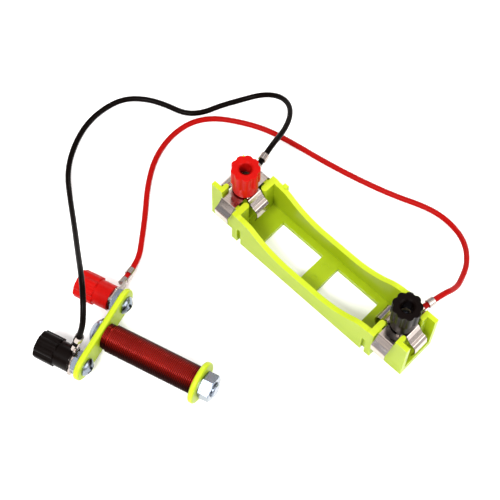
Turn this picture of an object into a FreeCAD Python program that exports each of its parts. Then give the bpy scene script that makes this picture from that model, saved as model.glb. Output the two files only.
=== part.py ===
import FreeCAD, Part
import math
import os

from FreeCAD import Placement, Rotation, Vector

# Electromagnet kit: a one-cell battery box with two binding posts, two leads with fork lugs,
# and a coil on a steel bolt with two binding posts of its own.
# Millimetres. X runs along the battery box from its red post to its black post, Z is up,
# and the origin is the centre of the box's underside, which rests on the table.

# Battery box, for one cell 14.5 across and 50.5 long
box_length = 82.8
box_width = 19.2
wall = 1.75
floor = 2.0
rim_height = 16.4
dip_height = 9.2
dip_flat_half = 6.0
dip_radius = 26.0
crest_radius = 11.0
dip_angle = 35.0
bay_width = 14.8
bay_wall = 1.6
bay_floor = 3.6
corner_height = 19.2
stub = 2.2
stub_gap = 6.6
outer_stub = 1.6
window_length = 17.6
window_width = 10.8
crossbar = 6.6
ejector_mark_radius = 1.3
ejector_mark_depth = 0.15
slot_width = 1.6
slot_depth = 1.2
slot_height = 8.7
slot_web = 0.1
tongue_width = 1.7
tongue_depth = 1.0
tongue_place = -25.0
tongue_drop = 0.6
ledge = 0.5

# Binding posts
post_place = 33.6
screw_radius = 2.0
screw_hole_gap = 0.15
screw_head_radius = 3.0
screw_head_height = 2.0
recess_width = 0.9
recess_length = 3.4
recess_depth = 1.2
counterbore_gap = 0.3
boss_radius = 3.65
boss_rib = 1.4
boss_rib_drop = 3.0

# Spring clips
sheet = 0.4
arm_width = 5.6
arm_gap = 0.3
bend_radius = 0.45
arm_bend = 4.1
side_arm_clearance = 0.4

# Knobs and their threaded inserts
knob_length = 12.0
knob_plain_length = 5.3
knob_plain_radius = 4.2
knob_lobe_radius = 4.8
knob_flute_radius = 4.25
knob_lobes = 9
knob_lobe_share = 0.62
knob_edge_round = 0.8
knob_crown_gap = 0.3
seat_gap = 0.1
socket_radius = 2.05
socket_mouth_radius = 2.6
socket_mouth_depth = 0.5
insert_radius = 2.8
insert_length = 4.8
insert_headroom = 1.2
running_gap = 0.05
thread_gap = 0.08
screw_reach = 4.5
screw_chamfer = 0.4

# Fork lugs
lug_sheet = 0.8
fork_width = 6.4
fork_gap = 0.1
fork_tip = 4.2
fork_round = 0.9
neck_width = 2.4
neck_bend_place = 4.3
barrel_radius = 1.2
barrel_start = 5.3
barrel_end = 7.6
axis_rise = 1.45
spine_width = 1.5
spine_thickness = 0.38
band_radius = 1.4
band_start = 9.6
band_end = 11.9
lead_radius = 0.95
lead_gap = 0.03
lead_start = 7.8

# Electromagnet, built along its own X from the terminal plate to the nut
plate_thickness = 2.1
plate_half_width = 5.0
post_spacing = 23.8
coil_length = 32.9
tube_radius = 3.6
bolt_radius = 2.5
bolt_gap = 0.15
flange_radius = 7.0
flange_thickness = 1.9
bobbin_edge_round = 0.7
dome_radius = 4.7
dome_height = 3.1
core_nut_flats = 8.0
core_nut_height = 4.0
bolt_beyond_nut = 0.8
post_nut_flats = 7.0
post_nut_height = 1.9
inner_layers_radius = 3.88
wire_radius = 0.425
wire_gap = 0.03
turns = 24
magnet_turn = 15.5
magnet_x = -34.5
magnet_y = -64.35

os.makedirs("parts", exist_ok=True)

X = Vector(1, 0, 0)
Y = Vector(0, 1, 0)
Z = Vector(0, 0, 1)
ORIGIN = Vector(0, 0, 0)


def box(x0, x1, y0, y1, z0, z1):
    return Part.makeBox(x1 - x0, y1 - y0, z1 - z0, Vector(x0, y0, z0))


def rod(radius, start, along, length):
    return Part.makeCylinder(radius, length, start, along)


def mirrored(shape, normal):
    return shape.mirror(ORIGIN, normal)


def moved(shape, place):
    copy = shape.copy()
    copy.Placement = place.multiply(copy.Placement)
    return copy


def export(name, *solids):
    shape = solids[0] if len(solids) == 1 else Part.makeCompound(list(solids))
    shape.exportStep("parts/" + name + ".step")
    print(name, "solids", len(shape.Solids), "volume", round(shape.Volume, 2), "valid", shape.isValid())


def rounded_path(points, radii):
    # Straight runs joined by tangent arcs, one radius for each inner point
    edges = []
    last = points[0]
    for before, corner, after, radius in zip(points, points[1:], points[2:], radii):
        into = (corner - before).normalize()
        out = (after - corner).normalize()
        half_turn = into.getAngle(out) / 2
        cut = radius * math.tan(half_turn)
        start = corner - into * cut
        end = corner + out * cut
        inward = (out - into).normalize()
        middle = corner + inward * (radius / math.cos(half_turn) - radius)
        if (start - last).Length > 1e-6:
            edges.append(Part.LineSegment(last, start).toShape())
        edges.append(Part.Arc(start, middle, end).toShape())
        last = end
    edges.append(Part.LineSegment(last, points[-1]).toShape())
    return edges


def bent_strip(profile, thickness, radius, width):
    # A strip of sheet folded along a profile in the XZ plane, centred on Y
    sides = []
    for side in (1, -1):
        shift = side * thickness / 2
        normals = []
        for a, b in zip(profile, profile[1:]):
            along = (b - a).normalize()
            normals.append(Vector(-along.z, 0, along.x))
        points = [profile[0] + normals[0] * shift]
        radii = []
        for corner, before, after in zip(profile[1:], normals, normals[1:]):
            middle = (before + after).normalize()
            points.append(corner + middle * (shift / middle.dot(before)))
            turn = before.cross(after).y
            radii.append(radius + (shift if turn > 0 else -shift))
        points.append(profile[-1] + normals[-1] * shift)
        sides.append((points, radii))
    (left, left_radii), (right, right_radii) = sides
    edges = rounded_path(left, left_radii) + rounded_path(right, right_radii)
    edges.append(Part.LineSegment(left[0], right[0]).toShape())
    edges.append(Part.LineSegment(left[-1], right[-1]).toShape())
    wire = Part.Wire(Part.__sortEdges__(edges))
    face = Part.Face(wire)
    face.translate(Y * (-width / 2))
    return face.extrude(Y * width)


# Battery box
half_box = box_length / 2
half_width = box_width / 2
half_bay = bay_width / 2
cavity_end = post_place - arm_width
partition_end = cavity_end + stub
gap_half = stub_gap / 2
arm_slot_half = arm_width / 2 + arm_gap
window_start = crossbar / 2
window_end = window_start + window_length


def wall_side():
    # Half of a long wall's outline: flat middle, hollow curve, crest, then level to the partition
    angle = math.radians(dip_angle)
    foot_x = dip_flat_half + dip_radius * math.sin(angle)
    foot_z = dip_height + dip_radius * (1 - math.cos(angle))
    crest_x = foot_x + crest_radius * math.sin(angle)
    crest_z = foot_z + crest_radius * (1 - math.cos(angle))
    half = math.sin(angle / 2)
    rest = math.cos(angle / 2)
    hollow_middle = Vector(dip_flat_half + dip_radius * half, 0, dip_height + dip_radius * (1 - rest))
    crest_middle = Vector(crest_x - crest_radius * half, 0, crest_z - crest_radius * (1 - rest))
    level = Vector(crest_x, 0, crest_z)
    top = Vector(crest_x + 1.0, 0, rim_height)
    return [
        Part.LineSegment(Vector(0, 0, dip_height), Vector(dip_flat_half, 0, dip_height)).toShape(),
        Part.Arc(Vector(dip_flat_half, 0, dip_height), hollow_middle, Vector(foot_x, 0, foot_z)).toShape(),
        Part.Arc(Vector(foot_x, 0, foot_z), crest_middle, level).toShape(),
        Part.LineSegment(level, top).toShape(),
        Part.LineSegment(top, Vector(partition_end, 0, rim_height)).toShape(),
        Part.LineSegment(Vector(partition_end, 0, rim_height), Vector(partition_end, 0, 0)).toShape(),
        Part.LineSegment(Vector(partition_end, 0, 0), ORIGIN).toShape(),
        Part.LineSegment(ORIGIN, Vector(0, 0, dip_height)).toShape(),
    ]


def rounded_stub(x0, x1, y_root, y_tip, top):
    # A wall stub from y_root to a round tip at y_tip, its sides at x0 and x1
    radius = (x1 - x0) / 2
    sign = 1 if y_root > y_tip else -1
    straight_end = y_tip + sign * radius
    body = box(x0, x1, min(y_root, straight_end), max(y_root, straight_end), 0, top)
    return body.fuse(rod(radius, Vector(x0 + radius, straight_end, 0), Z, top))


def terminal_bay():
    # The bay beyond one partition, drawn for the end at positive X
    shell = box(partition_end - ledge, half_box, -half_bay, half_bay, 0, corner_height)
    inner_y = half_bay - bay_wall
    hollow = box(partition_end - 1, half_box + 1, -inner_y, inner_y, bay_floor, corner_height + 1)
    bay = shell.cut(hollow)
    high_x = post_place + arm_slot_half
    clip_level = rim_height - arm_gap
    bay = bay.cut(box(partition_end - 1, high_x, -half_bay - 1, half_bay + 1, clip_level, corner_height + 1))
    for side in (1, -1):
        bay = bay.fuse(rounded_stub(high_x, high_x + outer_stub, side * half_bay, side * (gap_half + ledge),
                                    corner_height))
    boss = rod(boss_radius, Vector(post_place, 0, bay_floor / 2), Z, rim_height - bay_floor / 2)
    rib = box(post_place - boss_rib / 2, post_place + boss_rib / 2, -inner_y - ledge, inner_y + ledge,
              bay_floor / 2, rim_height - boss_rib_drop)
    return bay.fuse([boss, rib])


def screw_room(place):
    # The post screw's clearance hole and the sink for its head, under the box
    hole = rod(screw_radius + screw_hole_gap, Vector(place, 0, -1), Z, rim_height + 2)
    sink = rod(screw_head_radius + counterbore_gap, Vector(place, 0, -1), Z,
               screw_head_height + counterbore_gap + 1)
    return hole.fuse(sink)


def battery_box():
    half_face = Part.Face(Part.Wire(wall_side()))
    half_face.translate(Y * -half_width)
    half_tray = half_face.extrude(Y * box_width)
    tray = half_tray.fuse(mirrored(half_tray, X)).removeSplitter()
    inner_y = half_width - wall
    cavity = box(-cavity_end, cavity_end, -inner_y, inner_y, floor, corner_height)
    passage = box(-partition_end - 1, partition_end + 1, -gap_half - stub / 2, gap_half + stub / 2, floor,
                  corner_height)
    tray = tray.cut(cavity).cut(passage)
    for side_x in (1, -1):
        for side_y in (1, -1):
            tip = rounded_stub(cavity_end, partition_end, side_y * inner_y, side_y * gap_half, rim_height)
            tray = tray.fuse(tip if side_x > 0 else mirrored(tip, X))
    for side in (1, -1):
        x0, x1 = sorted((side * window_start, side * window_end))
        tray = tray.cut(box(x0, x1, -window_width / 2, window_width / 2, -1, floor + 1))
    for side in (1, -1):
        mark = rod(ejector_mark_radius, Vector(0, side * window_width / 4, floor - ejector_mark_depth), Z, 1)
        tray = tray.cut(mark)
    bay = terminal_bay()
    tray = tray.fuse([bay, mirrored(bay, X)])
    for side in (1, -1):
        tray = tray.cut(screw_room(side * post_place))
    # Interlocks on the outside: a slot near each end, and a tongue on the far side
    for side in (1, -1):
        slot_end = side * (cavity_end - slot_web)
        x0, x1 = sorted((slot_end, slot_end - side * slot_width))
        tray = tray.cut(box(x0, x1, -half_width - 1, -half_width + slot_depth, -1, slot_height))
    tongue = box(tongue_place - tongue_width / 2, tongue_place + tongue_width / 2, half_width - ledge,
                 half_width + tongue_depth, 0, rim_height - tongue_drop)
    return tray.fuse(tongue).removeSplitter()


# Spring clips
plate_top = rim_height + sheet
cell_arm = [(arm_bend, 0), (4.8, -1.3), (6.1, -2.7), (7.1, -2.9), (7.9, -3.8), (8.2, -6.2), (7.2, -9.7)]
near_arm = [(half_bay + side_arm_clearance, 0), (9.3, -2.0), (11.0, -3.0), (10.7, -6.6)]
far_arm = [(half_bay + side_arm_clearance, 0), (8.5, -1.5), (9.1, -3.0), (8.8, -6.2)]


def clip(place):
    # A cross of sheet: two arms along the box for cells, two over its sides for the next box
    level = rim_height + sheet / 2

    def strip(first, second):
        out = [Vector(u, 0, level + drop) for u, drop in second]
        back = [Vector(-u, 0, level + drop) for u, drop in reversed(first)]
        return bent_strip(back + out, sheet, bend_radius, arm_width)

    along = strip(cell_arm, cell_arm)
    across = strip(near_arm, far_arm)
    across.rotate(ORIGIN, Z, 90)
    cross = along.fuse(across).removeSplitter()
    hole = rod(screw_radius + screw_hole_gap, Vector(0, 0, 0), Z, plate_top + 1)
    cross = cross.cut(hole)
    cross.translate(X * place)
    return cross


# Screws, nuts and domed heads
def cross_recess(top):
    # A cross cut into the head, from its top face inwards
    bars = []
    for angle in (0, 90):
        bar = box(-recess_length / 2, recess_length / 2, -recess_width / 2, recess_width / 2,
                  top - recess_depth, top + 1)
        bar.rotate(ORIGIN, Z, angle)
        bars.append(bar)
    return bars[0].fuse(bars[1])


def domed_head(radius, height):
    # The head of a round-headed screw: a cap of a ball on a short rim, its flat side at Z = 0
    rim = height / 4
    rise = height - rim
    ball = (radius * radius + rise * rise) / (2 * rise)
    half_angle = math.asin(radius / ball) / 2
    shoulder = Vector(ball * math.sin(half_angle), 0, height - ball * (1 - math.cos(half_angle)))
    profile = Part.Wire([
        Part.LineSegment(ORIGIN, Vector(radius, 0, 0)).toShape(),
        Part.LineSegment(Vector(radius, 0, 0), Vector(radius, 0, rim)).toShape(),
        Part.Arc(Vector(radius, 0, rim), shoulder, Vector(0, 0, height)).toShape(),
        Part.LineSegment(Vector(0, 0, height), ORIGIN).toShape(),
    ])
    return Part.Face(profile).revolve(ORIGIN, Z, 360).cut(cross_recess(height))


def screw(length, radius, head_radius, head_height):
    # Head below Z = 0, shank up to Z = length
    head = mirrored(domed_head(head_radius, head_height), Z)
    shank = length - screw_chamfer
    tip = Part.makeCone(radius, radius - screw_chamfer, screw_chamfer, Vector(0, 0, shank), Z)
    return head.fuse([rod(radius, ORIGIN, Z, shank), tip]).removeSplitter()


def hex_nut(flats, height, bore):
    corners = []
    for side in range(7):
        angle = math.radians(60 * side)
        reach = flats / 2 / math.cos(math.radians(30))
        corners.append(Vector(reach * math.cos(angle), reach * math.sin(angle), 0))
    prism = Part.Face(Part.makePolygon(corners)).extrude(Z * height)
    reach = flats / 2 / math.cos(math.radians(30))
    cone_height = (reach - flats / 2) * math.tan(math.radians(30))
    low = Part.makeCone(flats / 2, reach, cone_height, ORIGIN, Z)
    high = Part.makeCone(reach, flats / 2, cone_height, Vector(0, 0, height - cone_height), Z)
    middle = rod(reach, Vector(0, 0, cone_height), Z, height - 2 * cone_height)
    barrel = low.fuse([middle, high])
    return prism.common(barrel).cut(rod(bore, Vector(0, 0, -1), Z, height + 2))


# Knobs
def knob():
    # Plain collar at the foot, rounded flutes above, a socket for a test plug through the top
    joint_radius = (knob_lobe_radius + knob_flute_radius) / 2
    step = 2 * math.pi / knob_lobes
    half_lobe = step * knob_lobe_share / 2

    def rim_point(radius, angle):
        return Vector(radius * math.cos(angle), radius * math.sin(angle), 0)

    edges = []
    for lobe in range(knob_lobes):
        middle = lobe * step
        start = middle - half_lobe
        end = middle + half_lobe
        valley = middle + step / 2
        following = start + step
        edges.append(Part.Arc(rim_point(joint_radius, start), rim_point(knob_lobe_radius, middle),
                              rim_point(joint_radius, end)).toShape())
        edges.append(Part.Arc(rim_point(joint_radius, end), rim_point(knob_flute_radius, valley),
                              rim_point(joint_radius, following)).toShape())
    grip = Part.Face(Part.Wire(edges))
    grip.translate(Z * knob_plain_length)
    grip = grip.extrude(Z * (knob_length - knob_plain_length))
    crown = rod(knob_lobe_radius + knob_crown_gap, ORIGIN, Z, knob_length)
    top_edges = [edge for edge in crown.Edges if edge.BoundBox.ZMin > knob_plain_length]
    grip = grip.common(crown.makeFillet(knob_edge_round, top_edges))
    body = grip.fuse(rod(knob_plain_radius, ORIGIN, Z, knob_plain_length))
    insert_room = rod(insert_radius + running_gap, Vector(0, 0, -1), Z, insert_length + insert_headroom + 1)
    socket = rod(socket_radius, ORIGIN, Z, knob_length + 1)
    mouth = Part.makeCone(socket_radius, socket_mouth_radius, socket_mouth_depth,
                          Vector(0, 0, knob_length - socket_mouth_depth), Z)
    return body.cut(insert_room).cut(socket).cut(mouth)


def insert():
    # Threaded brass bush moulded into the knob's foot
    bush = rod(insert_radius, Vector(0, 0, seat_gap), Z, insert_length)
    return bush.cut(rod(screw_radius + thread_gap, ORIGIN, Z, insert_length + 1))


# Fork lugs
def bent_at_neck(angle, slide):
    # Moves whatever lies beyond the neck: the bend first, then the slide along the fork
    hinge = Vector(0, neck_bend_place, lug_sheet / 2)
    return Placement(Vector(0, slide, 0), Rotation(X, angle), hinge)


def lug(bend):
    # The fork lies on Z = 0 about the post's axis, and the lead leaves along +Y
    slot_half = screw_radius + fork_gap
    half = fork_width / 2
    fork = rod(half, ORIGIN, Z, lug_sheet)
    fork = fork.fuse(box(-half, half, -fork_tip, 0, 0, lug_sheet))
    fork = fork.makeFillet(fork_round, [edge for edge in fork.Edges
                                 if edge.BoundBox.YMax < -half and edge.BoundBox.ZLength > lug_sheet / 2])
    fork = fork.cut(rod(slot_half, Vector(0, 0, -1), Z, 3))
    fork = fork.cut(box(-slot_half, slot_half, -fork_tip - 1, 0, -1, 2))
    neck_half = neck_width / 2
    root = box(-neck_half, neck_half, half - ledge, neck_bend_place, 0, lug_sheet)
    elbow = rod(lug_sheet / 2, Vector(-neck_half, neck_bend_place, lug_sheet / 2), X, neck_width)
    neck = box(-neck_half, neck_half, neck_bend_place, barrel_start + ledge, 0, lug_sheet)
    barrel = rod(barrel_radius, Vector(0, barrel_start, axis_rise), Y, barrel_end - barrel_start)
    spine_top = axis_rise - lead_radius - lead_gap
    spine = box(-spine_width / 2, spine_width / 2, barrel_end - ledge, band_start + ledge,
                spine_top - spine_thickness, spine_top)
    band = rod(band_radius, Vector(0, band_start, axis_rise), Y, band_end - band_start)
    tail = neck.fuse([barrel, spine, band])
    tail = tail.cut(rod(lead_radius + lead_gap, Vector(0, barrel_end, axis_rise), Y, band_end))
    return fork.fuse([root, elbow, moved(tail, bent_at_neck(bend, 0))]).removeSplitter()


# Electromagnet
half_spacing = post_spacing / 2
coil_start = plate_thickness
coil_end = coil_start + coil_length
flange_end = coil_end + flange_thickness
# It rests on the near edge of the flange and on the rims of both knobs, so the plate end is lower
rest_reach = post_nut_height + lug_sheet + seat_gap + knob_length - knob_edge_round
magnet_pitch = math.atan2(flange_radius - knob_lobe_radius, coil_end + rest_reach)
magnet_height = knob_lobe_radius * math.cos(magnet_pitch) + rest_reach * math.sin(magnet_pitch)
magnet_frame = Placement(Vector(magnet_x, magnet_y, magnet_height),
                         Rotation(Z, magnet_turn).multiply(Rotation(Y, -math.degrees(magnet_pitch))))
along_magnet = Rotation(Y, 90)
against_magnet = Rotation(Y, -90)


def on_magnet(shape, x, y, turn):
    return moved(moved(shape, Placement(Vector(x, y, 0), turn)), magnet_frame)


def rounded_rims(disc):
    # Rounds the edges of a disc or plate that stands square to the X axis
    rims = [edge for edge in disc.Edges if edge.BoundBox.XLength < bobbin_edge_round]
    return disc.makeFillet(bobbin_edge_round, rims)


def bobbin():
    plate = rod(plate_half_width, Vector(0, half_spacing, 0), X, plate_thickness)
    plate = plate.fuse(rod(plate_half_width, Vector(0, -half_spacing, 0), X, plate_thickness))
    plate = plate.fuse(box(0, plate_thickness, -half_spacing, half_spacing,
                           -plate_half_width, plate_half_width))
    plate = rounded_rims(plate.removeSplitter())
    tube = rod(tube_radius, Vector(plate_thickness / 2, 0, 0), X, coil_end)
    flange = rounded_rims(rod(flange_radius, Vector(coil_end, 0, 0), X, flange_thickness))
    body = plate.fuse([tube, flange]).removeSplitter()
    body = body.cut(rod(bolt_radius + bolt_gap, Vector(-1, 0, 0), X, flange_end + 2))
    for side in (1, -1):
        body = body.cut(rod(screw_radius + screw_hole_gap, Vector(-1, side * half_spacing, 0), X,
                            plate_thickness + 2))
    return moved(body, magnet_frame)


def biarc(start, start_way, end, end_way):
    # Two tangent arcs from start to end
    gap = end - start
    ways = start_way + end_way
    spread = 2 * (1 - start_way.dot(end_way))
    reach = (-gap.dot(ways) + math.sqrt(gap.dot(ways) ** 2 + spread * gap.dot(gap))) / spread
    first = start + start_way * reach
    second = end - end_way * reach
    meet = (first + second) / 2
    arcs = []
    for a, knee, b in ((start, first, meet), (meet, second, end)):
        chord = (b - a).Length / 2
        angle = (knee - a).getAngle(b - a)
        radius = chord / math.sin(angle)
        centre_of_chord = (a + b) / 2
        middle = centre_of_chord + (knee - centre_of_chord).normalize() * (radius * (1 - math.cos(angle)))
        arcs.append(Part.Arc(a, middle, b).toShape())
    return arcs


def winding():
    # The outer layer as one unbroken wire of a few thick turns, in quarter turns
    coil_radius = inner_layers_radius + wire_gap + wire_radius
    travel = coil_length - 2 * wire_radius - 2 * wire_gap
    pitch = travel / turns
    first_x = coil_start + wire_gap + wire_radius
    steps = 4 * turns
    points = []
    ways = []
    for step in range(steps + 1):
        angle = math.pi / 2 * step
        points.append(Vector(first_x + pitch * step / 4, coil_radius * math.cos(angle),
                             coil_radius * math.sin(angle)))
        way = Vector(pitch / (2 * math.pi), -coil_radius * math.sin(angle), coil_radius * math.cos(angle))
        ways.append(way.normalize())
    edges = []
    for step in range(steps):
        edges += biarc(points[step], ways[step], points[step + 1], ways[step + 1])
    path = Part.Wire(edges)
    section = Part.Wire([Part.Circle(points[0], ways[0], wire_radius).toShape()])
    solid = path.makePipeShell([section], True, False)
    least = min((points[i] - points[j]).Length for i in range(steps) for j in range(i + 3, min(i + 9, steps)))
    print("winding: least gap to itself", round(least - 2 * wire_radius, 3), "section x length",
          round(math.pi * wire_radius ** 2 * path.Length, 2), "volume", round(solid.Volume, 2))
    return moved(solid, magnet_frame)


# Leads
def lug_frame(post, turn):
    return post.multiply(Placement(ORIGIN, Rotation(Z, turn)))


knob_seat = plate_top + lug_sheet + seat_gap
red_post = Placement(Vector(-post_place, 0, plate_top), Rotation())
black_post = Placement(Vector(post_place, 0, plate_top), Rotation())


def magnet_post(side):
    # Post axes on the coil point away from the plate, against the coil's own X
    seat = Placement(Vector(-post_nut_height, side * half_spacing, 0), against_magnet)
    return magnet_frame.multiply(seat)


magnet_red_post = magnet_post(1)
magnet_black_post = magnet_post(-1)
# Each lug's post, its turn about that post, the bend at its neck and its slide along the fork
lugs = {
    "lug_black_lead_box": (red_post, 14.0, 0.0, 1.2),
    "lug_red_lead_box": (black_post, -10.8, 0.0, 0.0),
    "lug_red_lead_magnet": (magnet_red_post, 13.0, 0.0, 1.2),
    "lug_black_lead_magnet": (magnet_black_post, -68.0, -15.0, 0.0),
}


def lead_exit(name, run):
    # The lead's end inside the lug, and the end of its straight run out of it
    post, turn, bend, slide = lugs[name]
    frame = lug_frame(post, turn).multiply(bent_at_neck(bend, slide))
    inner = frame.multVec(Vector(0, lead_start, axis_rise))
    outer = frame.multVec(Vector(0, lead_start + run, axis_rise))
    return inner, outer


black_route = [
    (-39.9, 25.0, 14.5), (-43.2, 32.0, 12.0), (-48.0, 36.6, 9.0), (-53.9, 37.9, 6.0), (-59.6, 35.6, 3.0),
    (-63.7, 30.6, 1.0), (-67.7, 22.9, 1.0), (-70.0, 16.7, 1.0), (-74.3, 12.3, 1.0), (-81.2, 10.4, 1.0),
    (-87.8, 7.3, 1.0), (-93.3, 2.0, 1.0), (-95.4, -5.4, 1.0), (-95.2, -14.1, 1.0), (-91.6, -23.5, 1.0),
    (-86.0, -31.3, 1.0), (-78.1, -37.3, 3.0), (-66.4, -45.3, 9.0), (-54.4, -53.7, 17.4), (-43.8, -60.9, 25.9),
    (-37.5, -66.3, 25.0),
]
red_route = [
    (37.2, 21.8, 13.0), (36.0, 26.8, 10.0), (32.9, 34.5, 6.5), (26.4, 41.4, 3.0), (17.7, 44.2, 1.0),
    (9.5, 43.2, 1.0), (-1.5, 38.7, 1.0), (-13.8, 35.0, 1.0), (-27.4, 31.9, 1.0), (-38.5, 30.0, 1.0),
    (-49.4, 27.6, 1.0), (-58.3, 23.3, 1.0), (-66.0, 18.0, 1.0), (-70.5, 10.9, 1.0), (-71.2, 1.7, 1.0),
    (-68.6, -7.7, 1.0), (-62.8, -16.5, 1.0), (-56.1, -24.0, 1.0), (-50.1, -31.3, 1.5),
]


def lead(name, start_lug, start_run, route, end_lug, end_run):
    start, start_out = lead_exit(start_lug, start_run)
    end, end_out = lead_exit(end_lug, end_run)
    points = [start, start_out] + [Vector(*point) for point in route] + [end_out, end]
    runs = [(b - a).Length for a, b in zip(points, points[1:])]
    radii = []
    for before, corner, after, run, following in zip(points, points[1:], points[2:], runs, runs[1:]):
        half_turn = (corner - before).getAngle(after - corner) / 2
        radii.append(0.45 * min(run, following) / math.tan(half_turn))
    path = Part.Wire(rounded_path(points, radii))
    section = Part.Wire([Part.Circle(start, points[1] - start, lead_radius).toShape()])
    solid = path.makePipeShell([section], True, False)
    print(name, "radii", [round(radius, 1) for radius in radii])
    print(name, "runs", [round(run, 1) for run in runs])
    print(name, "length", round(path.Length, 1), "section x length",
          round(math.pi * lead_radius ** 2 * path.Length, 1), "volume", round(solid.Volume, 1))
    print(name, "ends", [[round(v, 2) for v in point] for point in (start, start_out, end_out, end)])
    return solid


# Build and write every piece
export("battery_box", battery_box())
export("spring_clip_red_end", clip(-post_place))
export("spring_clip_black_end", clip(post_place))

post_screw_length = knob_seat + screw_reach - screw_head_height - seat_gap
box_screws = []
for place in (-post_place, post_place):
    piece = screw(post_screw_length, screw_radius, screw_head_radius, screw_head_height)
    piece.translate(Vector(place, 0, screw_head_height + seat_gap))
    box_screws.append(piece)
export("box_post_screws", *box_screws)

for name, place in (("box_red", -post_place), ("box_black", post_place)):
    seat = Placement(Vector(place, 0, knob_seat), Rotation())
    export(name + "_knob", moved(knob(), seat))
    export(name + "_knob_insert", moved(insert(), seat))

export("bobbin", bobbin())
core_bolt = screw(flange_end + core_nut_height + bolt_beyond_nut, bolt_radius, dome_radius, dome_height)
export("core_bolt", on_magnet(core_bolt, 0, 0, along_magnet))
core_nut = hex_nut(core_nut_flats, core_nut_height, bolt_radius + thread_gap)
export("core_nut", on_magnet(core_nut, flange_end, 0, along_magnet))

inner_layers = rod(inner_layers_radius, Vector(coil_start, 0, 0), X, coil_length)
inner_layers = inner_layers.cut(rod(tube_radius, ORIGIN, X, coil_end + 1))
export("winding_inner_layers", moved(inner_layers, magnet_frame))
export("winding_outer_layer", winding())

magnet_screw_length = plate_thickness + post_nut_height + lug_sheet + seat_gap + screw_reach
magnet_screws = []
magnet_nuts = []
for side in (1, -1):
    piece = screw(magnet_screw_length, screw_radius, screw_head_radius, screw_head_height)
    magnet_screws.append(on_magnet(piece, plate_thickness, side * half_spacing, against_magnet))
    nut = hex_nut(post_nut_flats, post_nut_height, screw_radius + thread_gap)
    magnet_nuts.append(on_magnet(nut, 0, side * half_spacing, against_magnet))
export("magnet_post_screws", *magnet_screws)
export("magnet_post_nuts", *magnet_nuts)

knob_rise = Placement(Vector(0, 0, lug_sheet + seat_gap), Rotation())
for name, post in (("magnet_red", magnet_red_post), ("magnet_black", magnet_black_post)):
    export(name + "_knob", moved(knob(), post.multiply(knob_rise)))
    export(name + "_knob_insert", moved(insert(), post.multiply(knob_rise)))
    axis = post.Rotation.multVec(Z)
    print(name, "post at", [round(v, 4) for v in post.Base], "axis", [round(v, 6) for v in axis])

for name, (post, turn, bend, slide) in lugs.items():
    seat = lug_frame(post, turn).multiply(Placement(Vector(0, slide, 0), Rotation()))
    export(name, moved(lug(bend), seat))

export("lead_black", lead("lead_black", "lug_black_lead_box", 8.0, black_route, "lug_black_lead_magnet", 7.0))
export("lead_red", lead("lead_red", "lug_red_lead_box", 8.0, red_route, "lug_red_lead_magnet", 8.0))
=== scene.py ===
# %% [markdown]
# # An electromagnet kit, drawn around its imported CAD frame
# The CAD model already has the box, posts, clips and knobs at their true sizes, so this script
# adds what CAD can't show: the fine winding, the soft leads, and every surface.

# %% load the frame
import math

import bmesh
import bpy
from mathutils import Matrix, Vector


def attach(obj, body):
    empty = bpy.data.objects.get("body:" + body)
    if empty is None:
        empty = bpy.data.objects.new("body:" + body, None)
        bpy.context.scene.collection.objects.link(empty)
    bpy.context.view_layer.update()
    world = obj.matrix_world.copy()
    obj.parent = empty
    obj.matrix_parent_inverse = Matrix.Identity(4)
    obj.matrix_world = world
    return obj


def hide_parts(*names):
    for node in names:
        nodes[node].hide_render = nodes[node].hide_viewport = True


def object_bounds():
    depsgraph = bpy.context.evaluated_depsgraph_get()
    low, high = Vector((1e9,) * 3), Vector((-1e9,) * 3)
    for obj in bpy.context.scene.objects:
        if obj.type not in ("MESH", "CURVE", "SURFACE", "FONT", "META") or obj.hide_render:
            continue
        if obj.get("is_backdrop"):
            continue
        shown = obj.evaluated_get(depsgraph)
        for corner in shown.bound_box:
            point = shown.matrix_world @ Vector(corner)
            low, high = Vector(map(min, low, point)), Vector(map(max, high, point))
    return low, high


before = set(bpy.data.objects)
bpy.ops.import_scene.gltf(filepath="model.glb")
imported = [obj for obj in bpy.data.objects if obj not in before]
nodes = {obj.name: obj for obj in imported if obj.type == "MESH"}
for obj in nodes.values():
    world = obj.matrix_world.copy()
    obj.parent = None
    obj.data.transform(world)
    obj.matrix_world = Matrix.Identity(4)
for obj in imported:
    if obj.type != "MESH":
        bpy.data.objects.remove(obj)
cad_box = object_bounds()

MM = 0.001

# %% [markdown]
# ## Camera
# The photograph was taken from above the box's near side, about half a metre away. The camera
# was worked out from the box's corners: a 99 mm lens on a 36 mm wide sensor, in a square frame.

# %% camera
camera_place = Vector((107.0, -152.4, 406.1)) * MM
camera_right = Vector((0.7215, 0.6923, 0.0145)).normalized()
camera_forward = Vector((-0.2879, 0.3189, -0.9030)).normalized()
camera_up = camera_right.cross(camera_forward)
camera_data = bpy.data.cameras.new("camera")
camera_data.sensor_width = 36
camera_data.lens = 98.77
camera_data.clip_end = 10
camera = bpy.data.objects.new("camera", camera_data)
turn = Matrix((camera_right, camera_up, -camera_forward)).transposed()
camera.matrix_world = Matrix.Translation(camera_place) @ turn.to_4x4()
bpy.context.scene.collection.objects.link(camera)
bpy.context.scene.camera = camera
print("camera: lens", camera_data.lens, "mm at", [round(v, 3) for v in camera_place])

# %% [markdown]
# ## Leads
# Each lead is soft PVC wire 1.9 mm thick. It leaves its lug straight, drops to the table in a
# loose curve and climbs again to the electromagnet. A NURBS spline bends as evenly as such a
# wire does, so its control points are the same route that the CAD tube follows.

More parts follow.
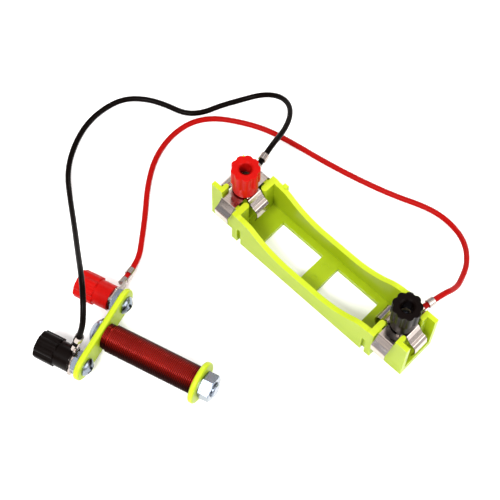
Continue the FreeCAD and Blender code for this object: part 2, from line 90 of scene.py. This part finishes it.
# %% lead routes
lead_diameter = 1.9 * MM
segments_each_point = 12
rings_each_quarter = 6
black_route = [
    (-35.78, 8.73, 18.25), (-37.71, 16.5, 18.25),
    (-39.9, 25.0, 14.5), (-43.2, 32.0, 12.0), (-48.0, 36.6, 9.0), (-53.9, 37.9, 6.0), (-59.6, 35.6, 3.0),
    (-63.7, 30.6, 1.0), (-67.7, 22.9, 1.0), (-70.0, 16.7, 1.0), (-74.3, 12.3, 1.0), (-81.2, 10.4, 1.0),
    (-87.8, 7.3, 1.0), (-93.3, 2.0, 1.0), (-95.4, -5.4, 1.0), (-95.2, -14.1, 1.0), (-91.6, -23.5, 1.0),
    (-86.0, -31.3, 1.0), (-78.1, -37.3, 3.0), (-66.4, -45.3, 9.0), (-54.4, -53.7, 17.4),
    (-43.8, -60.9, 25.9), (-37.5, -66.3, 25.0), (-33.96, -70.83, 19.03), (-34.75, -73.68, 12.68),
]
red_route = [
    (35.06, 7.66, 18.25), (36.56, 15.52, 18.25),
    (37.2, 21.8, 13.0), (36.0, 26.8, 10.0), (32.9, 34.5, 6.5), (26.4, 41.4, 3.0), (17.7, 44.2, 1.0),
    (9.5, 43.2, 1.0), (-1.5, 38.7, 1.0), (-13.8, 35.0, 1.0), (-27.4, 31.9, 1.0), (-38.5, 30.0, 1.0),
    (-49.4, 27.6, 1.0), (-58.3, 23.3, 1.0), (-66.0, 18.0, 1.0), (-70.5, 10.9, 1.0), (-71.2, 1.7, 1.0),
    (-68.6, -7.7, 1.0), (-62.8, -16.5, 1.0), (-56.1, -24.0, 1.0), (-50.1, -31.3, 1.5),
    (-45.17, -37.77, 1.45), (-43.16, -45.3, 3.25),
]


def soft_wire(name, route, diameter):
    curve = bpy.data.curves.new(name, "CURVE")
    curve.dimensions = "3D"
    spline = curve.splines.new("NURBS")
    spline.points.add(len(route) - 1)
    for point, place in zip(spline.points, route):
        point.co = (*(v * MM for v in place), 1)
        # The radius stands on the points and the bevel is 1, so the wire's bounds come out true
        point.radius = diameter / 2
    spline.order_u = 3
    spline.use_endpoint_u = True
    spline.resolution_u = segments_each_point
    curve.bevel_depth = 1.0
    curve.bevel_resolution = rings_each_quarter
    curve.use_fill_caps = True
    wire = bpy.data.objects.new(name, curve)
    bpy.context.scene.collection.objects.link(wire)
    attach(wire, "root")
    return wire


black_wire = soft_wire("black_lead_wire", black_route, lead_diameter)
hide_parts("lead_black")
red_wire = soft_wire("red_lead_wire", red_route, lead_diameter)
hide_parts("lead_red")
print("leads:", len(black_route), "and", len(red_route), "control points")

# %% [markdown]
# ## Electromagnet's own axes
# The coil lies on the table askew, resting on its flange and on the rims of its two knobs. The
# winding is easiest to draw along its own X axis, so this cell builds the matrix that takes
# points from the coil's axes to the table's, with the same sizes as the CAD model.

# %% coil frame
flange_radius = 7.0
knob_rim_radius = 4.8
plate_thickness = 2.1
coil_length = 32.9
knob_rim_reach = 14.0
plate_place = (-34.5, -64.35)
coil_heading = 15.5
coil_end = plate_thickness + coil_length
pitch = math.atan2(flange_radius - knob_rim_radius, coil_end + knob_rim_reach)
coil_height = knob_rim_radius * math.cos(pitch) + knob_rim_reach * math.sin(pitch)
coil_frame = (Matrix.Translation(Vector((*plate_place, coil_height)) * MM)
              @ Matrix.Rotation(math.radians(coil_heading), 4, "Z")
              @ Matrix.Rotation(-pitch, 4, "Y"))
print("coil axis tilts", round(math.degrees(pitch), 2), "degrees, and is",
      round(coil_height, 2), "mm up at the plate")

# %% [markdown]
# ## Winding
# The real coil is a few layers of enamelled copper wire, 0.42 mm thick, wound tight from flange
# to flange and back. Each layer is one unbroken helix, so each is drawn as one: a ring of
# points is carried along the helix and joined to the last. The layers deeper down stay as in CAD.
# At the photograph's size a turn of the real wire is 1.3 pixels wide, too fine to show, so the top
# layer is drawn with wire of 0.6 mm. The last turns of the layer below show beside the plate, at
# their true 0.42 mm.

# %% helix layers
wire_sides = 8
steps_each_turn = 40


def helix_layer(mesh, thickness, radius, first_x, last_x, hand):
    turns = int((last_x - first_x) / thickness)
    steps = turns * steps_each_turn
    rings = []
    for step in range(steps + 1):
        angle = hand * 2 * math.pi * step / steps_each_turn
        x = first_x + (last_x - first_x) * step / steps
        outward = Vector((0, math.cos(angle), math.sin(angle)))
        ring = []
        for side in range(wire_sides):
            around = 2 * math.pi * side / wire_sides
            across = Vector((math.cos(around) * thickness / 2, 0, 0))
            point = Vector((x, 0, 0)) + across + outward * (radius + math.sin(around) * thickness / 2)
            ring.append(mesh.verts.new(coil_frame @ (point * MM)))
        rings.append(ring)
    for last, following in zip(rings, rings[1:]):
        for side in range(wire_sides):
            other = (side + 1) % wire_sides
            mesh.faces.new((last[side], last[other], following[other], following[side]))
    mesh.faces.new(rings[0])
    mesh.faces.new(reversed(rings[-1]))
    return turns


def mesh_piece(name, mesh, body):
    bmesh.ops.recalc_face_normals(mesh, faces=mesh.faces)
    data = bpy.data.meshes.new(name)
    mesh.to_mesh(data)
    mesh.free()
    for face in data.polygons:
        face.use_smooth = True
    piece = bpy.data.objects.new(name, data)
    bpy.context.scene.collection.objects.link(piece)
    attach(piece, body)
    return piece


# %% two layers of wire
winding_mesh = bmesh.new()
inner_layers_radius = 3.88
lower_wire = 0.42
upper_wire = 0.6
# This centre line puts the top wire's outside 4.71 mm from the axis, just within the CAD winding
upper_radius = 4.41
clear = 0.05
# The top layer stops this far short of the plate, and there the layer below shows
step_back = 1.6
forward, backward = 1, -1
first_x = plate_thickness + clear
step_x = first_x + step_back
last_x = coil_end - clear - upper_wire / 2
lower_turns = helix_layer(winding_mesh, lower_wire, inner_layers_radius + lower_wire / 2,
                          first_x + lower_wire / 2, step_x, forward)
upper_turns = helix_layer(winding_mesh, upper_wire, upper_radius,
                          step_x + upper_wire / 2, last_x, backward)
winding = mesh_piece("winding_wire", winding_mesh, "root")
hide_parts("winding_outer_layer")
print("winding:", lower_turns, "turns below and", upper_turns, "turns on top,",
      len(winding.data.polygons), "faces")

# %% [markdown]
# ## Material helpers
# Every surface is a small node tree on the Principled shader. Colours are picked as sRGB hex
# values, which one function turns into the linear light that Blender calculates with. Another adds
# any node, with its settings and links, and a third gives the noise scale for a real width, because
# a scale of 1 is one patch in each metre. The last puts a finished material on its pieces.

# %% material helpers


def linear(hex_colour):
    channels = [int(hex_colour[i:i + 2], 16) / 255 for i in (1, 3, 5)]
    return (*(c / 12.92 if c <= 0.04045 else ((c + 0.055) / 1.055) ** 2.4 for c in channels), 1)


def new_material(name):
    material = bpy.data.materials.new(name)
    material.use_nodes = True
    tree = material.node_tree
    shader = tree.nodes["Principled BSDF"]
    return material, tree, shader


def add(tree, kind, settings=None, **inputs):
    # A new node. An input is a plain value, or a socket to link from.
    node = tree.nodes.new(kind)
    for name, value in (settings or {}).items():
        setattr(node, name, value)
    for name, value in inputs.items():
        key = int(name[1:]) if name[1:].isdigit() and name[0] == "i" else name.replace("_", " ")
        if isinstance(value, bpy.types.NodeSocket):
            tree.links.new(value, node.inputs[key])
        else:
            node.inputs[key].default_value = value
    return node


def scale_for(width):
    # Patches, grains or lines this many millimetres wide
    return 1 / (width * MM)


def dress(material, *names):
    for name in names:
        piece = nodes[name] if name in nodes else bpy.data.objects[name]
        piece.data.materials.clear()
        piece.data.materials.append(material)
    print(material.name, "on", len(names), "pieces")


# %% [markdown]
# ## Lime plastic
# The box and the bobbin are moulded in a clear fluorescent lime plastic. Light that enters its
# faces leaves at its thin edges, so the rims shine yellow and the broad faces look greener and
# darker. Real light piping is slow to render, so the edge glow is drawn from the shape: faces
# that look up from a rim are given the bright edge colour.

# %% lime plastic
lime_edge = linear("#A9B923")
lime_face = linear("#94A61B")
lime_deep = linear("#899F0C")


def lime_plastic(name):
    material, tree, shader = new_material(name)
    place = add(tree, "ShaderNodeTexCoord")
    # Mould flow gives clouds about 9 mm wide, and the fine sparked tool finish is 0.25 mm
    clouds = add(tree, "ShaderNodeTexNoise", Vector=place.outputs["Object"],
                 Scale=scale_for(9.09), Detail=3.0)
    grain = add(tree, "ShaderNodeTexNoise", Vector=place.outputs["Object"],
                Scale=scale_for(0.25), Detail=2.0)
    body = add(tree, "ShaderNodeMix", {"data_type": "RGBA"}, Factor=clouds.outputs["Fac"])
    body.inputs[6].default_value = lime_face
    body.inputs[7].default_value = lime_deep
    bump = add(tree, "ShaderNodeBump", Height=grain.outputs["Fac"], Strength=0.06, Distance=0.04 * MM)
    tree.links.new(bump.outputs["Normal"], shader.inputs["Normal"])
    shader.inputs["Roughness"].default_value = 0.32
    shader.inputs["IOR"].default_value = 1.49
    shader.inputs["Specular IOR Level"].default_value = 0.12
    shader.inputs["Subsurface Weight"].default_value = 0.35
    shader.inputs["Subsurface Radius"].default_value = (1.0, 0.9, 0.2)
    shader.inputs["Subsurface Scale"].default_value = 2.5 * MM
    return material, tree, shader, place, body


# %% lime box: its rims glow
box_lime, tree, shader, place, body = lime_plastic("lime plastic, moulded, box")
# Faces that look up are rims only in the upper part of the walls, above 3 mm and fully at 10 mm
facing = add(tree, "ShaderNodeNewGeometry")
up = add(tree, "ShaderNodeSeparateXYZ", Vector=facing.outputs["Normal"])
height = add(tree, "ShaderNodeSeparateXYZ", Vector=place.outputs["Object"])
looks_up = add(tree, "ShaderNodeMapRange", i0=up.outputs["Z"], i1=0.1, i2=0.9)
near_rim = add(tree, "ShaderNodeMapRange", i0=height.outputs["Z"], i1=3.0 * MM, i2=10.0 * MM)
rim = add(tree, "ShaderNodeMath", {"operation": "MULTIPLY"},
          i0=looks_up.outputs[0], i1=near_rim.outputs[0])
colour = add(tree, "ShaderNodeMix", {"data_type": "RGBA"}, i0=rim.outputs[0])
tree.links.new(body.outputs[2], colour.inputs[6])
colour.inputs[7].default_value = lime_edge
tree.links.new(colour.outputs[2], shader.inputs["Base Color"])
dress(box_lime, "battery_box")

# %% lime bobbin: the edges of its plate and flange glow
bobbin_lime, tree, shader, _, body = lime_plastic("lime plastic, moulded, bobbin")
# Faces square to the coil's axis are broad ones, and the others are edges
facing = add(tree, "ShaderNodeNewGeometry")
coil_axis = (coil_frame.to_3x3() @ Vector((1, 0, 0))).normalized()
along = add(tree, "ShaderNodeVectorMath", {"operation": "DOT_PRODUCT"}, i0=facing.outputs["Normal"])
along.inputs[1].default_value = coil_axis
broad = add(tree, "ShaderNodeMath", {"operation": "ABSOLUTE"}, i0=along.outputs["Value"])
edge = add(tree, "ShaderNodeMapRange", i0=broad.outputs[0], i1=0.8, i2=0.3)
colour = add(tree, "ShaderNodeMix", {"data_type": "RGBA"}, i0=edge.outputs[0])
tree.links.new(body.outputs[2], colour.inputs[6])
colour.inputs[7].default_value = lime_edge
tree.links.new(colour.outputs[2], shader.inputs["Base Color"])
dress(bobbin_lime, "bobbin")

# %% [markdown]
# ## Knob plastic
# The knobs are moulded in solid red and black plastic with a half gloss. Handling leaves them
# slightly uneven in gloss, and the mould leaves a very fine grain.

# %% knob plastic


def knob_plastic(name, face, shade):
    material, tree, shader = new_material(name)
    place = add(tree, "ShaderNodeTexCoord")
    # Handling marks are about 3 mm wide, and the mould's grain is 0.2 mm
    marks = add(tree, "ShaderNodeTexNoise", Vector=place.outputs["Object"],
                Scale=scale_for(3.03), Detail=4.0)
    grain = add(tree, "ShaderNodeTexNoise", Vector=place.outputs["Object"],
                Scale=scale_for(0.2), Detail=2.0)
    colour = add(tree, "ShaderNodeMix", {"data_type": "RGBA"}, Factor=marks.outputs["Fac"])
    colour.inputs[6].default_value = linear(face)
    colour.inputs[7].default_value = linear(shade)
    tree.links.new(colour.outputs[2], shader.inputs["Base Color"])
    gloss = add(tree, "ShaderNodeMapRange", i0=marks.outputs["Fac"], i3=0.28, i4=0.4)
    tree.links.new(gloss.outputs[0], shader.inputs["Roughness"])
    bump = add(tree, "ShaderNodeBump", Height=grain.outputs["Fac"], Strength=0.08, Distance=0.04 * MM)
    tree.links.new(bump.outputs["Normal"], shader.inputs["Normal"])
    shader.inputs["IOR"].default_value = 1.53
    shader.inputs["Specular IOR Level"].default_value = 0.05
    return material


dress(knob_plastic("red plastic, moulded", face="#B00E09", shade="#980705"),
      "box_red_knob", "magnet_red_knob")
dress(knob_plastic("black plastic, moulded", face="#090302", shade="#050201"),
      "box_black_knob", "magnet_black_knob")

# %% [markdown]
# ## Lead sheath
# The leads are sheathed in soft PVC, drawn through a die. It is about as glossy as the knobs, and
# being flexed leaves it slightly uneven, in tone and in its surface.

# %% lead sheath


def pvc_sheath(name, face, shade):
    material, tree, shader = new_material(name)
    place = add(tree, "ShaderNodeTexCoord")
    # Flexing leaves patches about 5 mm long
    patches = add(tree, "ShaderNodeTexNoise", Vector=place.outputs["Object"],
                  Scale=scale_for(5.0), Detail=3.0)
    colour = add(tree, "ShaderNodeMix", {"data_type": "RGBA"}, Factor=patches.outputs["Fac"])
    colour.inputs[6].default_value = linear(face)
    colour.inputs[7].default_value = linear(shade)
    tree.links.new(colour.outputs[2], shader.inputs["Base Color"])
    gloss = add(tree, "ShaderNodeMapRange", i0=patches.outputs["Fac"], i3=0.26, i4=0.38)
    tree.links.new(gloss.outputs[0], shader.inputs["Roughness"])
    bump = add(tree, "ShaderNodeBump", Height=patches.outputs["Fac"], Strength=0.15, Distance=0.06 * MM)
    tree.links.new(bump.outputs["Normal"], shader.inputs["Normal"])
    shader.inputs["IOR"].default_value = 1.54
    shader.inputs["Specular IOR Level"].default_value = 0.03
    return material


dress(pvc_sheath("red PVC sheath, drawn", face="#980C09", shade="#860705"), "red_lead_wire")
dress(pvc_sheath("black PVC sheath, drawn", face="#080302", shade="#050201"), "black_lead_wire")

# %% [markdown]
# ## Plated metal
# The clips and lugs are pressed from thin sheet with a bright nickel plate, which has a warm
# tone and fine rolling lines. The screws, bolt and nuts are steel with a bluish zinc plate,
# slightly satin. Metals take their whole look from what they mirror, so the colour is pale and
# only the roughness and the fine relief vary.

# %% plated metal


def plated(name, face, shade, roughness, widths, relief):
    material, tree, shader = new_material(name)
    place = add(tree, "ShaderNodeTexCoord")
    stretch = add(tree, "ShaderNodeMapping", Vector=place.outputs["Object"],
                  Scale=[scale_for(width) for width in widths])
    lines = add(tree, "ShaderNodeTexNoise", Vector=stretch.outputs[0], Scale=1.0, Detail=4.0)
    colour = add(tree, "ShaderNodeMix", {"data_type": "RGBA"}, Factor=lines.outputs["Fac"])
    colour.inputs[6].default_value = linear(face)
    colour.inputs[7].default_value = linear(shade)
    tree.links.new(colour.outputs[2], shader.inputs["Base Color"])
    gloss = add(tree, "ShaderNodeMapRange", i0=lines.outputs["Fac"],
                i3=roughness - 0.05, i4=roughness + 0.08)
    tree.links.new(gloss.outputs[0], shader.inputs["Roughness"])
    bump = add(tree, "ShaderNodeBump", Height=lines.outputs["Fac"], Strength=relief, Distance=0.03 * MM)
    tree.links.new(bump.outputs["Normal"], shader.inputs["Normal"])
    shader.inputs["Metallic"].default_value = 1.0
    return material


# Rolling lines are a third of a millimetre apart and ten times as long
dress(plated("nickel plate on pressed sheet", face="#C4B8B0", shade="#8E8580",
             roughness=0.12, widths=(10 / 3, 1 / 3, 1 / 3), relief=0.12),
      "spring_clip_red_end", "spring_clip_black_end", "lug_black_lead_box", "lug_red_lead_box",
      "lug_red_lead_magnet", "lug_black_lead_magnet")
# Zinc crystals and tumbling marks are about 0.5 mm wide
dress(plated("zinc plate on steel", face="#8F98A3", shade="#676F7B",
             roughness=0.22, widths=(0.5, 0.5, 0.5), relief=0.15),
      "box_post_screws", "core_bolt", "core_nut", "magnet_post_screws", "magnet_post_nuts")
# The inserts are turned brass with a thin nickel plate. Their turning marks are an eighth of a
# millimetre apart
dress(plated("nickel plate on turned brass", face="#E2D6BC", shade="#C4B493",
             roughness=0.4, widths=(1.25, 1.25, 0.125), relief=0.2),
      "box_red_knob_insert", "box_black_knob_insert",
      "magnet_red_knob_insert", "magnet_black_knob_insert")

# %% [markdown]
# ## Enamelled wire
# Magnet wire is copper under a clear dark red enamel. The eye sees copper tinted deep red, with
# bright lines where the enamel mirrors the light. So faces that look up, the crests of the turns, are
# drawn as tinted metal under a thin clear coat, and the flanks and the coil's lower sides as painted
# shade: nearly black enamel that mirrors nothing.

# %% enamelled wire
enamel, tree, shader = new_material("copper wire, red enamelled")
place = add(tree, "ShaderNodeTexCoord")
# The enamel's tone drifts along the wire, over about 4 mm
drift = add(tree, "ShaderNodeTexNoise", Vector=place.outputs["Object"],
            Scale=scale_for(4.0), Detail=3.0)
tone = add(tree, "ShaderNodeMix", {"data_type": "RGBA"}, Factor=drift.outputs["Fac"])
tone.inputs[6].default_value = linear("#98160C")
tone.inputs[7].default_value = linear("#740C06")
# Painted shade: faces that look sideways or down, in the grooves and on the coil's sides, are near
# black, so only what looks up is red
facing = add(tree, "ShaderNodeNewGeometry")
up = add(tree, "ShaderNodeSeparateXYZ", Vector=facing.outputs["Normal"])
painted_light_mask = add(tree, "ShaderNodeMapRange", i0=up.outputs["Z"], i1=0.5, i2=0.97)
colour = add(tree, "ShaderNodeMix", {"data_type": "RGBA"}, i0=painted_light_mask.outputs[0])
# The near-black colour is the painted shade on the flanks and lower sides
colour.inputs[6].default_value = linear("#1C0403")
tree.links.new(tone.outputs[2], colour.inputs[7])
tree.links.new(colour.outputs[2], shader.inputs["Base Color"])
# Metal and clear coat follow the same painted light mask, so only the tops shine
sheen = add(tree, "ShaderNodeMapRange", i0=painted_light_mask.outputs[0], i3=0.05, i4=0.75)
tree.links.new(sheen.outputs[0], shader.inputs["Metallic"])
lacquer = add(tree, "ShaderNodeMapRange", i0=painted_light_mask.outputs[0], i1=0.3, i3=0.0, i4=0.2)
tree.links.new(lacquer.outputs[0], shader.inputs["Coat Weight"])
shader.inputs["Coat Roughness"].default_value = 0.22
shader.inputs["Roughness"].default_value = 0.3
shader.inputs["Specular IOR Level"].default_value = 0.01
dress(enamel, "winding_inner_layers", "winding_wire")

# %% [markdown]
# ## Table and light
# The photograph's background is plain white. Its light is soft and comes from all round, a little
# stronger from above and in front. A white table, a banded sky and three lamps do the same.

# %% table
table_half_side = 1.5
table_gap = 0.05 * MM
table_mesh = bmesh.new()
bmesh.ops.create_grid(table_mesh, x_segments=2, y_segments=2, size=table_half_side)
table_data = bpy.data.meshes.new("table")
table_mesh.to_mesh(table_data)
table_mesh.free()
table = bpy.data.objects.new("table", table_data)
table.location.z = -table_gap
bpy.context.scene.collection.objects.link(table)
table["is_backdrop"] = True
table_white, tree, shader = new_material("white table top")
shader.inputs["Base Color"].default_value = linear("#FFFFFF")
shader.inputs["Roughness"].default_value = 0.9
shader.inputs["Specular IOR Level"].default_value = 0.0
table_data.materials.append(table_white)

# %% sky
world = bpy.data.worlds.new("studio")
bpy.context.scene.world = world
world.use_nodes = True
sky = world.node_tree
direction = add(sky, "ShaderNodeTexCoord")
parts = add(sky, "ShaderNodeSeparateXYZ", Vector=direction.outputs["Generated"])
# From the table up: a pale wall, a dark gap, a warm wall, a grey gap, a bright panel, a blue-grey
# gap and a warm ceiling. A bright metal mirrors one of them in each of its bends.
bands = add(sky, "ShaderNodeValToRGB", i0=parts.outputs["Z"])
ramp = bands.color_ramp
sky_bands = [
    (0.0, (1.0, 0.99, 0.99)), (0.16, (1.1, 1.06, 1.04)), (0.19, (0.03, 0.03, 0.04)),
    (0.29, (0.04, 0.03, 0.03)), (0.32, (1.0, 0.72, 0.6)), (0.44, (1.1, 0.92, 0.84)),
    (0.47, (0.08, 0.09, 0.12)), (0.54, (0.25, 0.28, 0.34)), (0.58, (1.25, 1.25, 1.25)),
    (0.68, (1.25, 1.23, 1.21)), (0.71, (0.24, 0.27, 0.34)), (0.83, (0.4, 0.43, 0.5)),
    (0.87, (1.5, 1.42, 1.36)), (1.0, (1.5, 1.46, 1.42)),
]
# A new ramp has two stops already
for _ in sky_bands[2:]:
    ramp.elements.new(0.5)
for element, (level, colour) in zip(ramp.elements, sky_bands):
    element.position = level
    element.color = (*colour, 1)
sky.links.new(bands.outputs["Color"], sky.nodes["Background"].inputs["Color"])
sky.nodes["Background"].inputs["Strength"].default_value = 1.0


# %% lamps


def soft_lamp(name, place, size, power):
    data = bpy.data.lights.new(name, "AREA")
    data.shape = "SQUARE"
    data.size = size
    data.energy = power
    lamp = bpy.data.objects.new(name, data)
    lamp.location = place
    lamp.rotation_euler = (-Vector(place)).to_track_quat("-Z", "Y").to_euler()
    bpy.context.scene.collection.objects.link(lamp)


soft_lamp("front", place=(0.14, -0.66, 0.87), size=0.36, power=13.0)
soft_lamp("back", place=(-0.55, 0.9, 0.6), size=0.2, power=5.0)
soft_lamp("side", place=(0.9, 0.25, 0.7), size=0.9, power=9.0)
bpy.context.scene.view_settings.view_transform = "Standard"
print("light: sky and three soft lamps")

# %% [markdown]
# ## Sizes
# Both boxes, the CAD model's and the drawn model's, are printed. The drawn model has to
# stay inside the CAD model's box.

# %% finish
bpy.context.view_layer.update()
drawn_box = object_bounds()
for label, box in (("CAD box", cad_box), ("drawn box", drawn_box)):
    print(label, [[round(v, 4) for v in corner] for corner in box])
